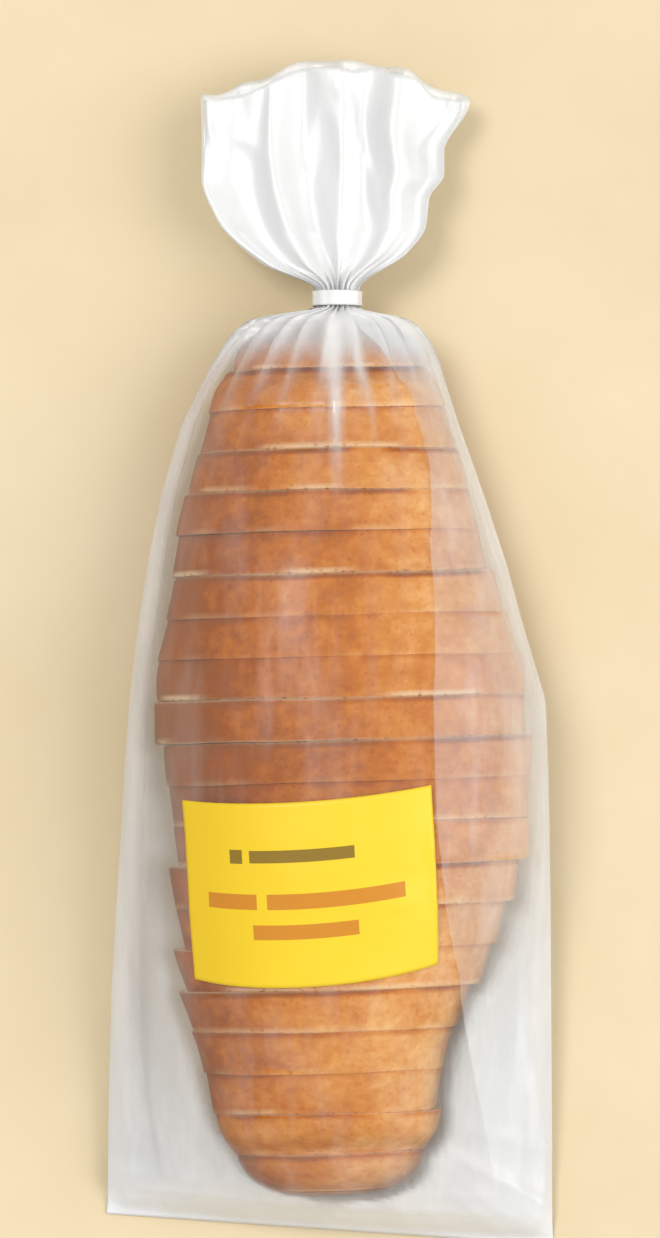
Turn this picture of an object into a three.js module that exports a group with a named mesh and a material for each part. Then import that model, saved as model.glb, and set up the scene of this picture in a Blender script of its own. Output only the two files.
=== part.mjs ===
// A sliced hearth loaf in a clear film bag: the slices stand together in the order they were cut, on their
// flat base, inside a bag that is sealed flat at one end and gathered to a neck and tied at the other.
// Millimetres, +Z up. The bag lies on the plane z = 0, with its long axis along Y and its neck towards +Y.
import * as THREE from "three";

// ---- driving dimensions -------------------------------------------------------------------------------
const LOAF_LENGTH = 298;
const LOAF_HEIGHT = 78;
const LOAF_CENTRE_Y = -37;
const HEEL_LIFT = 9; // how far the base curves up at the loaf's tips
const SLICE_COUNT = 21;
const SLICE_GAP = 0.6;
const SLICE_LEAN = 0.012; // radians, crust towards the neck
const FILM = 0.4; // a stand-in for film that is really a few hundredths thick
const CLEARANCE = 0.4; // between the film and what it touches
const BAG_SLACK = 3.2; // between the bread and the film around it
const SEAM_Y = -200;
const SEAM_SLANT = 0.07; // the seal runs a little askew to the bag
const NECK_X = 2.4;
const NECK_Y = 122;
const NECK_Z = 27;
const NECK_HALF_WIDTH = 8;
const NECK_HALF_HEIGHT = 6.5;
const NECK_CHANNEL = 1.5; // half-width of the opening left between the pleats
const MOUTH_Y = 198;
const LABEL_WIDTH = 91;
const LABEL_HEIGHT = 63;
const LABEL_THICKNESS = 0.3;
const LABEL_CENTRE_X = -9;
const LABEL_CENTRE_Y = -79.3;
const LABEL_TILT = 0.06; // radians
const LABEL_LOWER_BOW = 4.8; // how far its ends run up the tapering loaf at its lower edge
const LABEL_UPPER_BOW = 3; // and at its upper edge
const TIE_WIDTH = 5;
const TIE_THICKNESS = 0.7;

const AROUND = 56; // facets round the bag
const SECTION_POINTS = 40; // facets round a slice

// ---- materials ----------------------------------------------------------------------------------------
const crust = new THREE.MeshStandardMaterial({ color: 0xb8743c, roughness: 0.7, metalness: 0 });
const film = new THREE.MeshStandardMaterial({
  color: 0xf2f3f4,
  roughness: 0.25,
  metalness: 0,
  transparent: true,
  opacity: 0.3,
  side: THREE.DoubleSide,
});
const labelPaper = new THREE.MeshStandardMaterial({ color: 0xfbdc1e, roughness: 0.5, metalness: 0 });
const tieTape = new THREE.MeshStandardMaterial({ color: 0xf4f4f2, roughness: 0.4, metalness: 0 });

// ---- shared curves ------------------------------------------------------------------------------------
// A smooth value along Y through a few [y, value] pairs. It doesn't overshoot between them.
function along(pairs) {
  return (y) => {
    const last = pairs.length - 1;
    if (y <= pairs[0][0]) return pairs[0][1];
    if (y >= pairs[last][0]) return pairs[last][1];
    const i = pairs.findIndex((p) => p[0] > y) - 1;
    const slope = (k) => {
      if (k < 0 || k >= last) return 0;
      return (pairs[k + 1][1] - pairs[k][1]) / (pairs[k + 1][0] - pairs[k][0]);
    };
    const tangent = (k) => {
      const before = slope(k - 1);
      const after = slope(k);
      return before * after <= 0 ? 0 : (2 * before * after) / (before + after);
    };
    const [y0, v0] = pairs[i];
    const [y1, v1] = pairs[i + 1];
    const span = y1 - y0;
    const t = (y - y0) / span;
    const rise = (1 + 2 * t) * (1 - t) ** 2 * v0 + t * t * (3 - 2 * t) * v1;
    return rise + t * (1 - t) ** 2 * span * tangent(i) - t * t * (1 - t) * span * tangent(i + 1);
  };
}

const signedPower = (value, power) => Math.sign(value) * Math.abs(value) ** power;

// ---- the loaf -----------------------------------------------------------------------------------------
const plainHalfWidth = along([
  [-186, 33.4],
  [-150, 39],
  [-125, 43.8],
  [-106, 51],
  [-65, 59.2],
  [-16, 63.2],
  [4, 58.6],
  [48, 48.4],
  [91, 36.6],
  [112, 31],
]);
const shareAlong = (y) => (y - LOAF_CENTRE_Y) / (LOAF_LENGTH / 2);
const plainHeight = (y) => LOAF_HEIGHT * (1 - 0.5 * shareAlong(y) ** 2);
// How much of the plain size is left near the loaf's ends. The end by the seal is the rounder one.
const rounding = (y, power) => Math.sqrt(1 - Math.abs(0.985 * shareAlong(y)) ** power);
const widthLeft = (y) => rounding(y, y < 0 ? 20 : 34);
const heightLeft = (y) => rounding(y, 14);

// Where each slice stands across the bag, from the sealed end to the neck: some have slid sideways.
const SLICE_CENTRES = [0.7, 0, -2, -2.5, -2.4, 1.3, 3.4, 4.9, 7.7, 7.6, 6.8, 4, 4, 2.8, 2.4, 0.2, -1, -0.1];
SLICE_CENTRES.push(-0.4, -0.8, 0.5);

// The loaf's section at unit half-width and unit height: a flat base, full sides and a round crown.
function unitSection() {
  const widest = 0.4;
  const points = [];
  for (let i = 0; i < SECTION_POINTS; i++) {
    const angle = (2 * Math.PI * (i + 0.5)) / SECTION_POINTS;
    const up = Math.sin(angle);
    const x = signedPower(Math.cos(angle), 0.85);
    const crown = widest + (1 - widest) * Math.abs(up) ** 0.95;
    const foot = widest - widest * Math.min(1, 1.12 * Math.sqrt(Math.abs(up)));
    points.push(new THREE.Vector2(x, up > 0 ? crown : foot));
  }
  return new THREE.Shape(points);
}

function sliceName(index) {
  if (index === 0) return "heel_seam_end";
  if (index === SLICE_COUNT - 1) return "heel_neck_end";
  return "slice_" + String(index + 1).padStart(2, "0");
}

function makeSlice(index) {
  const pitch = LOAF_LENGTH / SLICE_COUNT;
  const thickness = pitch - SLICE_GAP;
  const start = LOAF_CENTRE_Y - LOAF_LENGTH / 2 + index * pitch + SLICE_GAP / 2;
  const middle = start + thickness / 2;
  const isHeel = index === 0 || index === SLICE_COUNT - 1;
  const geometry = new THREE.ExtrudeGeometry(unitSection(), {
    depth: thickness,
    steps: isHeel ? 5 : 1,
    bevelEnabled: false,
  });
  // The section is drawn in XY and extruded along Z. Turned upright, it takes the loaf's size at its own Y.
  geometry.rotateX(Math.PI / 2);
  geometry.translate(0, start + thickness, 0);
  const position = geometry.attributes.position;
  for (let i = 0; i < position.count; i++) {
    const y = position.getY(i);
    const x = position.getX(i) * plainHalfWidth(y) * widthLeft(y);
    const lift = isHeel ? HEEL_LIFT * (1 - heightLeft(y)) : 0;
    const z = lift + position.getZ(i) * plainHeight(y) * heightLeft(y);
    position.setXYZ(i, x, y - middle, z);
  }
  const slice = new THREE.Mesh(geometry, crust);
  slice.name = sliceName(index);
  slice.position.set(SLICE_CENTRES[index], middle, FILM + CLEARANCE + 0.1);
  slice.rotation.x = -SLICE_LEAN;
  return slice;
}

// ---- the bag ------------------------------------------------------------------------------------------
// The bag's outline from above, left and right of the Y axis.
const bagLeft = along([
  [SEAM_Y, -78],
  [-120, -76.3],
  [-68, -73],
  [-16, -69.5],
  [18, -65.3],
  [46, -60.4],
  [77, -52.8],
  [102, -40.3],
  [112, -33],
  [117, -23],
  [NECK_Y - 3, NECK_X - NECK_HALF_WIDTH],
]);
const bagRight = along([
  [SEAM_Y, 78],
  [-68, 76.3],
  [-16, 74.6],
  [10, 66.8],
  [32, 60.8],
  [57, 52.6],
  [77, 45.8],
  [102, 38.4],
  [112, 33],
  [117, 24],
  [NECK_Y - 3, NECK_X + NECK_HALF_WIDTH],
]);
// The part of the bag that lies against the bread, inside the loose folds along its two sides.
const coreMiddle = along([
  [-186, 0.7],
  [-165, 0],
  [-145, -2.2],
  [-125, -2.3],
  [-106, 1.4],
  [-80, 4.9],
  [-58, 7.8],
  [-34, 6.8],
  [-16, 4.4],
  [20, 2.2],
  [48, -0.8],
  [100, 0],
  [NECK_Y - 3, NECK_X],
]);
const bagTop = along([
  [SEAM_Y, 1.4],
  [-197.5, 5],
  [-194, 22],
  [-190, 34],
  [-184, 42],
  [-174, 49],
  [-150, 59.5],
  [-110, 73],
  [-37, LOAF_HEIGHT + BAG_SLACK + 1],
  [36, 73],
  [76, 59.5],
  [98, 50],
  [108, 46],
  [115, 40],
  [NECK_Y - 3, NECK_Z + NECK_HALF_HEIGHT],
]);
const bagBottom = along([
  [106, 0],
  [113, 3],
  [NECK_Y - 3, NECK_Z - NECK_HALF_HEIGHT],
]);
// Height of the bag's widest part against the bread, and of the loose folds' outer edges.
const bagWaist = along([
  [SEAM_Y, 0.7],
  [-197.5, 2.5],
  [-192, 11],
  [-184, 17],
  [-150, 24.5],
  [-110, 30],
  [-37, 33],
  [36, 30],
  [76, 24.5],
  [104, 22],
  [NECK_Y - 3, NECK_Z],
]);
const foldEdge = along([
  [SEAM_Y, 0.7],
  [-180, 3],
  [-150, 7],
  [-110, 12],
  [-60, 18],
  [60, 20],
  [104, 20],
  [NECK_Y - 3, NECK_Z],
]);
const gathering = along([
  [106, 0],
  [NECK_Y - 3, 1],
]);

// The ruff: the bag's free end, flattened and pleated, that spreads out beyond the neck.
const ruffMiddle = along([
  [NECK_Y + 3, NECK_X],
  [135, 0.3],
  [147, -2.6],
  [175, -3.2],
  [MOUTH_Y, 1.8],
]);
const ruffHalfWidth = along([
  [NECK_Y + 3, NECK_HALF_WIDTH],
  [135, 25],
  [147, 35.5],
  [166, 41.5],
  [MOUTH_Y, 45.5],
]);
const ruffHeight = along([
  [NECK_Y + 3, NECK_Z],
  [150, 24],
  [MOUTH_Y, 17],
]);
const ruffHalfThickness = along([
  [NECK_Y + 3, NECK_HALF_HEIGHT],
  [134, 3.4],
  [150, 1.9],
]);
const ruffPleat = along([
  [NECK_Y + 3, 0],
  [140, 2.4],
  [MOUTH_Y, 4],
]);

// The neck's wall stands for all the film pressed together there.
const bagWall = along([
  [108, FILM],
  [NECK_Y - 3, NECK_HALF_HEIGHT - NECK_CHANNEL],
  [NECK_Y + 3, NECK_HALF_HEIGHT - NECK_CHANNEL],
  [134, FILM],
]);

// A point of the gathered bag's side at station y, nested inside the outer face by the wall's thickness.
function bodyPoint(y, angle, inset) {
  const side = Math.cos(angle);
  const up = Math.sin(angle);
  const gathered = gathering(y);
  const reach = side < 0 ? coreMiddle(y) - bagLeft(y) : bagRight(y) - coreMiddle(y);
  const core = Math.min(reach, plainHalfWidth(y) + BAG_SLACK);
  const isInner = inset > 0;
  const fold = Math.max(0, reach - core - (isInner ? 3 : 0));
  const blunt = 0.85 + 0.15 * gathered;
  const across = (core - inset) * Math.abs(side) ** blunt + fold * Math.abs(side) ** 12;
  const waist = bagWaist(y);
  const floor = bagBottom(y) + inset;
  const crown = (bagTop(y) - inset - waist) * Math.max(0, up) ** (0.92 + 0.08 * gathered);
  const squareFoot = Math.min(1, 1.15 * Math.sqrt(Math.abs(up)));
  const foot = up > 0 ? 0 : (waist - floor) * (gathered * Math.abs(up) + (1 - gathered) * squareFoot);
  const sag = (waist - foldEdge(y)) * Math.abs(side) ** 12;
  const z = Math.max(floor, waist + crown - foot - sag);
  const slant = SEAM_SLANT * Math.max(0, Math.min(1, (-120 - y) / 70));
  const x = coreMiddle(y) + Math.sign(side) * across;
  return new THREE.Vector3(x, y - slant * x, z);
}

// A point of the ruff. The mouth's cut edge isn't straight: its middle stands further out than its corners.
function ruffPoint(y, angle, inset) {
  const half = ruffHalfWidth(y);
  const across = (half - inset) * Math.cos(angle);
  const share = across / half;
  const pleat = ruffPleat(y) * Math.cos(4.3 * Math.PI * share + 0.6);
  const z = ruffHeight(y) + (ruffHalfThickness(y) - inset) * Math.sin(angle) + pleat;
  const edge = Math.max(0, (y - 150) / (MOUTH_Y - 150));
  const bulge = edge * (6 - 11 * share ** 2 + 2 * Math.sin(6.5 * share));
  return new THREE.Vector3(ruffMiddle(y) + across, y + bulge, z);
}

function wallPoint(y, angle, inset) {
  return y > NECK_Y ? ruffPoint(y, angle, inset) : bodyPoint(y, angle, inset);
}

const BAG_STATIONS = [SEAM_Y, -197.5, -194, -190, -184, -174, -160, -142, -118, -90, -64, -40, -16, 8];
BAG_STATIONS.push(31, 56, 80, 98, 107, 112, 116, NECK_Y - 3, NECK_Y + 3);
BAG_STATIONS.push(128, 134, 143, 155, 172, MOUTH_Y);

function makeBag() {
  // The wall's profile runs out along the outer face from the seal to the mouth, then back along the inner
  // face. Its two ends lie on the axis, where the seal closes the film.
  const innerStations = BAG_STATIONS.slice(1).reverse();
  const profile = [{ y: SEAM_Y, inset: 0, isPole: true }];
  BAG_STATIONS.forEach((y) => profile.push({ y, inset: 0, isPole: false }));
  innerStations.forEach((y) => profile.push({ y, inset: bagWall(y), isPole: false }));
  profile.push({ y: BAG_STATIONS[1], inset: FILM, isPole: true });
  const outline = profile.map((point, i) => new THREE.Vector2(point.isPole ? 0 : 1, i));
  const geometry = new THREE.LatheGeometry(outline, AROUND);
  const position = geometry.attributes.position;
  for (let i = 0; i < position.count; i++) {
    const point = profile[i % profile.length];
    const turn = Math.floor(i / profile.length) % AROUND;
    const angle = (-2 * Math.PI * (turn + 0.5)) / AROUND;
    const place = wallPoint(point.y, angle, point.inset);
    if (point.isPole) place.set(0, point.y, (bagTop(point.y) + bagBottom(point.y)) / 2);
    position.setXYZ(i, place.x, place.y, place.z);
  }
  const bag = new THREE.Mesh(geometry, film);
  bag.name = "bag";
  return bag;
}

// ---- the label ----------------------------------------------------------------------------------------
// The height of the bag's outer face above a point of its upper side.
function filmHeight(x, y) {
  const isRight = x > coreMiddle(y);
  let low = 0;
  let high = Math.PI / 2;
  for (let i = 0; i < 30; i++) {
    const angle = (low + high) / 2;
    const tried = wallPoint(y, isRight ? angle : Math.PI - angle, 0).x;
    const isOutside = isRight ? tried > x : tried < x;
    if (isOutside) low = angle;
    else high = angle;
  }
  return wallPoint(y, isRight ? low : Math.PI - low, 0).z;
}

// Goes a distance along the film from the label's middle, across the loaf, and gives the X reached.
function walkAcross(distance, y) {
  const step = 0.5 * Math.sign(distance);
  let x = LABEL_CENTRE_X;
  let left = Math.abs(distance);
  while (left > 0) {
    const length = Math.hypot(step, filmHeight(x + step, y) - filmHeight(x, y));
    x += step * Math.min(1, left / length);
    left -= length;
  }
  return x;
}

function makeLabel() {
  const geometry = new THREE.BoxGeometry(LABEL_WIDTH, LABEL_HEIGHT, LABEL_THICKNESS, 16, 6, 1);
  const position = geometry.attributes.position;
  for (let i = 0; i < position.count; i++) {
    const u = position.getX(i);
    const v = position.getY(i);
    const up = v / LABEL_HEIGHT + 0.5;
    const bow = LABEL_LOWER_BOW + (LABEL_UPPER_BOW - LABEL_LOWER_BOW) * up;
    const straightY = LABEL_CENTRE_Y + v * Math.cos(LABEL_TILT) + u * Math.sin(LABEL_TILT);
    const y = straightY + bow * ((2 * u) / LABEL_WIDTH) ** 2;
    const x = walkAcross(u, y) - v * Math.sin(LABEL_TILT);
    const lift = 2 * CLEARANCE + LABEL_THICKNESS / 2 + position.getZ(i);
    position.setXYZ(i, x, y, filmHeight(x, y) + lift);
  }
  const label = new THREE.Mesh(geometry, labelPaper);
  label.name = "label";
  return label;
}

// ---- the tie ------------------------------------------------------------------------------------------
// A narrow band of tape wrapped once round the gathered neck.
function makeTie() {
  const band = new THREE.Shape();
  const innerWidth = NECK_HALF_WIDTH + CLEARANCE;
  const innerHeight = NECK_HALF_HEIGHT + CLEARANCE;
  band.absellipse(0, 0, innerWidth + TIE_THICKNESS, innerHeight + TIE_THICKNESS, 0, 2 * Math.PI);
  const hole = new THREE.Path();
  hole.absellipse(0, 0, innerWidth, innerHeight, 0, 2 * Math.PI);
  band.holes.push(hole);
  const geometry = new THREE.ExtrudeGeometry(band, {
    depth: TIE_WIDTH,
    curveSegments: 40,
    bevelEnabled: false,
  });
  geometry.rotateX(Math.PI / 2);
  geometry.translate(NECK_X, NECK_Y + TIE_WIDTH / 2, NECK_Z);
  const tie = new THREE.Mesh(geometry, tieTape);
  tie.name = "neck_tie";
  return tie;
}

// ---- the whole ----------------------------------------------------------------------------------------
const bread = new THREE.Group();
for (let i = 0; i < SLICE_COUNT; i++) bread.add(makeSlice(i));

const packedLoaf = new THREE.Group();
packedLoaf.add(bread, makeBag(), makeLabel(), makeTie());

export default packedLoaf;
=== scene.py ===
import math
import random

import bmesh
import bpy
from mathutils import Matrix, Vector, noise
from mathutils.bvhtree import BVHTree


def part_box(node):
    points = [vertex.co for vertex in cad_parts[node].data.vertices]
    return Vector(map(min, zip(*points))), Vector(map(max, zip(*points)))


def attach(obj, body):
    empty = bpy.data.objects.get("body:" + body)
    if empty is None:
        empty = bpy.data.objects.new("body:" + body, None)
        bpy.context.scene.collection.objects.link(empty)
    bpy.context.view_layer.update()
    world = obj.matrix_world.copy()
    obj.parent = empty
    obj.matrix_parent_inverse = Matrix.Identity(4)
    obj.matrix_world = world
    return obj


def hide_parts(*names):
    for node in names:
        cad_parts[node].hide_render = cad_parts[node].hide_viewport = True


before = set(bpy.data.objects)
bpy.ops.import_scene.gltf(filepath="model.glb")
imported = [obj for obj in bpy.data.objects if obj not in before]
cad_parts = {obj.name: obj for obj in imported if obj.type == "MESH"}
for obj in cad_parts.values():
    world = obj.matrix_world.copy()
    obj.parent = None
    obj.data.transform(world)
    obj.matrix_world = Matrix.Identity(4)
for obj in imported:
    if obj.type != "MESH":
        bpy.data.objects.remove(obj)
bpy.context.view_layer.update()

# A sliced hearth loaf in a clear film bag. Metres, the bag lies along Y with its neck towards +Y.
mm = 0.001


def smoothCurve(points, levelEnds=True):
    # a smooth value along one axis through a few (place, value) pairs, without overshoot; it ends
    # level, or as steep as its last stretch
    places = [p[0] for p in points]
    values = [p[1] for p in points]
    last = len(points) - 1
    slopes = [(values[k + 1] - values[k]) / (places[k + 1] - places[k]) for k in range(last)]
    tangents = [0.0 if levelEnds else slopes[0]]
    for k in range(1, last):
        before, after = slopes[k - 1], slopes[k]
        tangents.append(0.0 if before * after <= 0 else 2 * before * after / (before + after))
    tangents.append(0.0 if levelEnds else slopes[-1])

    def value(place):
        if place <= places[0]:
            return values[0]
        if place >= places[last]:
            return values[last]
        k = 0
        while places[k + 1] < place:
            k += 1
        span = places[k + 1] - places[k]
        t = (place - places[k]) / span
        rise = (1 + 2 * t) * (1 - t) ** 2 * values[k] + t * t * (3 - 2 * t) * values[k + 1]
        return rise + t * (1 - t) ** 2 * span * tangents[k] - t * t * (1 - t) * span * tangents[k + 1]

    return value


def ease(low, high, value):
    # goes smoothly from 0 at low to 1 at high, either way round
    t = min(1.0, max(0.0, (value - low) / (high - low)))
    return t * t * (3 - 2 * t)


def bump(centre, width, value):
    return math.exp(-(((value - centre) / width) ** 2))


def makeObject(name, bm, materials):
    mesh = bpy.data.meshes.new(name)
    bm.normal_update()
    bm.to_mesh(mesh)
    bm.free()
    for material in materials:
        mesh.materials.append(material)
    mesh.polygons.foreach_set("use_smooth", [True] * len(mesh.polygons))
    piece = bpy.data.objects.new(name, mesh)
    bpy.context.scene.collection.objects.link(piece)
    return piece


def newMaterial(name):
    material = bpy.data.materials.new(name)
    material.use_nodes = True
    material.node_tree.nodes.clear()
    return material, material.node_tree


def addNode(tree, kind, inputs=None, **settings):
    node = tree.nodes.new(kind)
    for key, value in settings.items():
        setattr(node, key, value)
    for key, value in (inputs or {}).items():
        if isinstance(value, bpy.types.NodeSocket):
            tree.links.new(value, node.inputs[key])
        else:
            node.inputs[key].default_value = value
    return node


def mathNode(tree, operation, *values, clamp=False):
    node = addNode(tree, "ShaderNodeMath", dict(enumerate(values)), operation=operation)
    node.use_clamp = clamp
    return node.outputs[0]


def mixColour(tree, factor, a, b):
    return addNode(tree, "ShaderNodeMix", {0: factor, 6: a, 7: b}, data_type="RGBA").outputs[2]


def rampNode(tree, factor, stops):
    node = addNode(tree, "ShaderNodeValToRGB", {0: factor})
    ramp = node.color_ramp
    while len(ramp.elements) < len(stops):
        ramp.elements.new(0.5)
    for element, (place, colour) in zip(ramp.elements, stops):
        element.position = place
        element.color = colour
    return node.outputs[0]


def maskRamp(tree, factor, black, white):
    # 0 at one value of the factor and 1 at the other
    ends = sorted([(black, (0, 0, 0, 1)), (white, (1, 1, 1, 1))])
    return rampNode(tree, factor, ends)


def noiseNode(tree, vector, scale, detail=3.0, roughness=0.55):
    inputs = {"Vector": vector, "Scale": scale, "Detail": detail, "Roughness": roughness}
    return addNode(tree, "ShaderNodeTexNoise", inputs).outputs[0]


def stretched(tree, vector, scale):
    inputs = {"Vector": vector, "Scale": scale}
    return addNode(tree, "ShaderNodeMapping", inputs).outputs[0]


def srgb(code, alpha=1.0):
    parts = [int(code[k:k + 2], 16) / 255 for k in (0, 2, 4)]
    return [p / 12.92 if p <= 0.04045 else ((p + 0.055) / 1.055) ** 2.4 for p in parts] + [alpha]


stageSetup = {
    "cameraHeight": 3.0,
    "lens": 251.3,
    "middle": (0.0, 11.8 * mm),
    "tableReach": 12.0,
    "tableColours": ("D9C7A2", "DFCEAC"),
    "sky": (0.98, 0.99, 1.0, 1),
    "skyStrength": 0.6,
    # broad lamps far away, so the whole table is lit evenly: name, where from, degrees across and strength
    "lamps": (
        ("key", (-0.6, 0.5, 1.7), 22, 1.26),
        ("right_side", (1.1, 0.0, 1.0), 50, 1.4),
        ("front_fill", (0.1, -1.6, 1.2), 40, 0.2),
    ),
    "lampColour": (1.0, 0.98, 0.96),
}


def addCamera():
    camera = bpy.data.cameras.new("camera")
    camera.lens = stageSetup["lens"]
    camera.sensor_width = 36
    camera.clip_start = 10 * mm
    view = bpy.data.objects.new("camera", camera)
    view.location = (*stageSetup["middle"], stageSetup["cameraHeight"])
    bpy.context.scene.collection.objects.link(view)
    bpy.context.scene.camera = view


def addTable():
    material, tree = newMaterial("pale_table")
    place = addNode(tree, "ShaderNodeTexCoord").outputs["Object"]
    darker, paler = [srgb(code) for code in stageSetup["tableColours"]]
    colour = rampNode(tree, noiseNode(tree, place, 9.0, 4.0), [(0.35, darker), (0.65, paler)])
    shader = addNode(tree, "ShaderNodeBsdfPrincipled", {"Base Color": colour, "Roughness": 0.75})
    addNode(tree, "ShaderNodeOutputMaterial", {"Surface": shader.outputs[0]})
    bm = bmesh.new()
    bmesh.ops.create_grid(bm, x_segments=8, y_segments=8, size=stageSetup["tableReach"])
    bmesh.ops.translate(bm, verts=bm.verts, vec=(0, 0, -0.1 * mm))  # just clear of the film
    makeObject("floor", bm, [material])


def addLight():
    world = bpy.data.worlds.new("studio")
    world.use_nodes = True
    world.node_tree.nodes["Background"].inputs[0].default_value = stageSetup["sky"]
    world.node_tree.nodes["Background"].inputs[1].default_value = stageSetup["skyStrength"]
    bpy.context.scene.world = world
    for name, spot, spread, power in stageSetup["lamps"]:
        lamp = bpy.data.lights.new(name, "SUN")
        lamp.angle = math.radians(spread)
        lamp.energy = power
        lamp.color = stageSetup["lampColour"]
        holder = bpy.data.objects.new(name, lamp)
        holder.location = spot
        holder.rotation_euler = (-Vector(spot)).to_track_quat("-Z", "Y").to_euler()
        bpy.context.scene.collection.objects.link(holder)


addCamera()
addTable()
addLight()
bpy.context.scene.view_settings.view_transform = "Standard"
bpy.context.scene.cycles.transparent_max_bounces = 64  # many layers of film lie over each other
print("stage set")


breadLook = {
    "around": 128,
    "rings": 5,  # across a slice's crust
    "heelRings": 14,
    "unit": 60 * mm,  # a raw slice is a disc of radius 1 whose thickness is in this unit
    "rim": (0.25 * mm, 1.0 * mm),  # rounding of the cut edges, at the faintest and the strongest cut
    "gap": (0.03 * mm, 0.15 * mm),  # half the gap at a cut, likewise
    "endGap": 0.15 * mm,  # how far the heels stay inside the ends of the loaf
    "wander": 0.55 * mm,  # how far a cut strays from its plane
    "crustDepth": 2.4 * mm,
    "usualRadius": 55 * mm,
    "lumps": 1.1 * mm,
    "ownLumps": 0.35 * mm,  # relief that changes from slice to slice
    "slide": 0.6 * mm,
    "sizeSpread": 0.012,
    "turn": 0.026,  # the cuts run a little askew
    "turnSpread": 0.014,
    "lean": 0.012,  # and lean a little, from not at all to twice this
    "leanHeight": 40 * mm,
    "axisShare": 0.42,  # how high the axis of a slice runs, as a share of its height
    "widestShare": 0.4,  # how high a slice is widest
    "seamPower": 20,  # how squarely the seam end rounds off, seen from above
    "neckPower": 34,  # and the neck end
    "sidePower": 14,  # and both, seen from the side
    "heelLift": 9 * mm,  # how far the foot of a heel curls up at its tip
    "heelBulge": 1.2 * mm,
    "crustColours": (
        (0.0, "8E5022"), (0.22, "9A5016"), (0.45, "BB6B1C"), (0.66, "CF873A"), (0.95, "E6B06E"),
    ),
    "footColour": "B9824A",
    "crumbColours": ("C79F68", "F0DCB4"),  # painted shade in its pores, and the cream between them
    "paintedLightTowardsRight": 6.0,  # painted light: the crust darker on the left and paler towards the right, along the crust colours, per metre of X
    "palerTowardsNeck": 0.12,
    # painted shade on the far rim of each cut, where the gap between slices lies in shadow
    "paintedCutShade": 0.55,
}

sliceNames = ["heel_seam_end"] + ["slice_%02d" % k for k in range(2, 21)] + ["heel_neck_end"]
sliceBoxes = [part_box(name) for name in sliceNames]
lastSlice = len(sliceNames) - 1
loafStart = sliceBoxes[0][0].y
loafEnd = sliceBoxes[-1][1].y
loafMiddle = (loafStart + loafEnd) / 2


def facingY(k):
    # the Y of a slice's bigger face, where its box takes its width
    low, high = sliceBoxes[k]
    if k == 0:
        return high.y
    if k == lastSlice:
        return low.y
    return (low.y + high.y) / 2


def alongLoaf(measure, levelEnds=True):
    # a measure of the slices' boxes as a smooth curve along the loaf
    return smoothCurve([(facingY(k), measure(*box)) for k, box in enumerate(sliceBoxes)], levelEnds)


loafHalfWidth = alongLoaf(lambda low, high: (high.x - low.x) / 2, levelEnds=False)
loafHeight = alongLoaf(lambda low, high: high.z - low.z)
loafCentre = alongLoaf(lambda low, high: (high.x + low.x) / 2)


def endRounding(y, power):
    # 1 along most of the loaf, falling towards both its tips; a higher power makes a squarer end
    share = 0.985 * (y - loafMiddle) / (loafEnd - loafMiddle)  # the tips keep a little width
    return math.sqrt(max(0.0, 1 - min(1.0, abs(share)) ** power))


def sectionPoint(angle):
    # the loaf's section at unit half-width and height: flat base, full sides, round crown
    side, up = math.cos(angle), math.sin(angle)
    widest = breadLook["widestShare"]
    x = math.copysign(abs(side) ** 0.85, side)
    if up > 0:
        return x, widest + (1 - widest) * up ** 0.95
    return x, widest - widest * min(1.0, 1.12 * math.sqrt(-up))


def lumpiness(x, y, z):
    place = Vector((x, y, z)) * 22
    broad = noise.noise(place)
    fine = noise.noise(place * 3.1 + Vector((7, 3, 1)))
    return broad + 0.4 * fine


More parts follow.
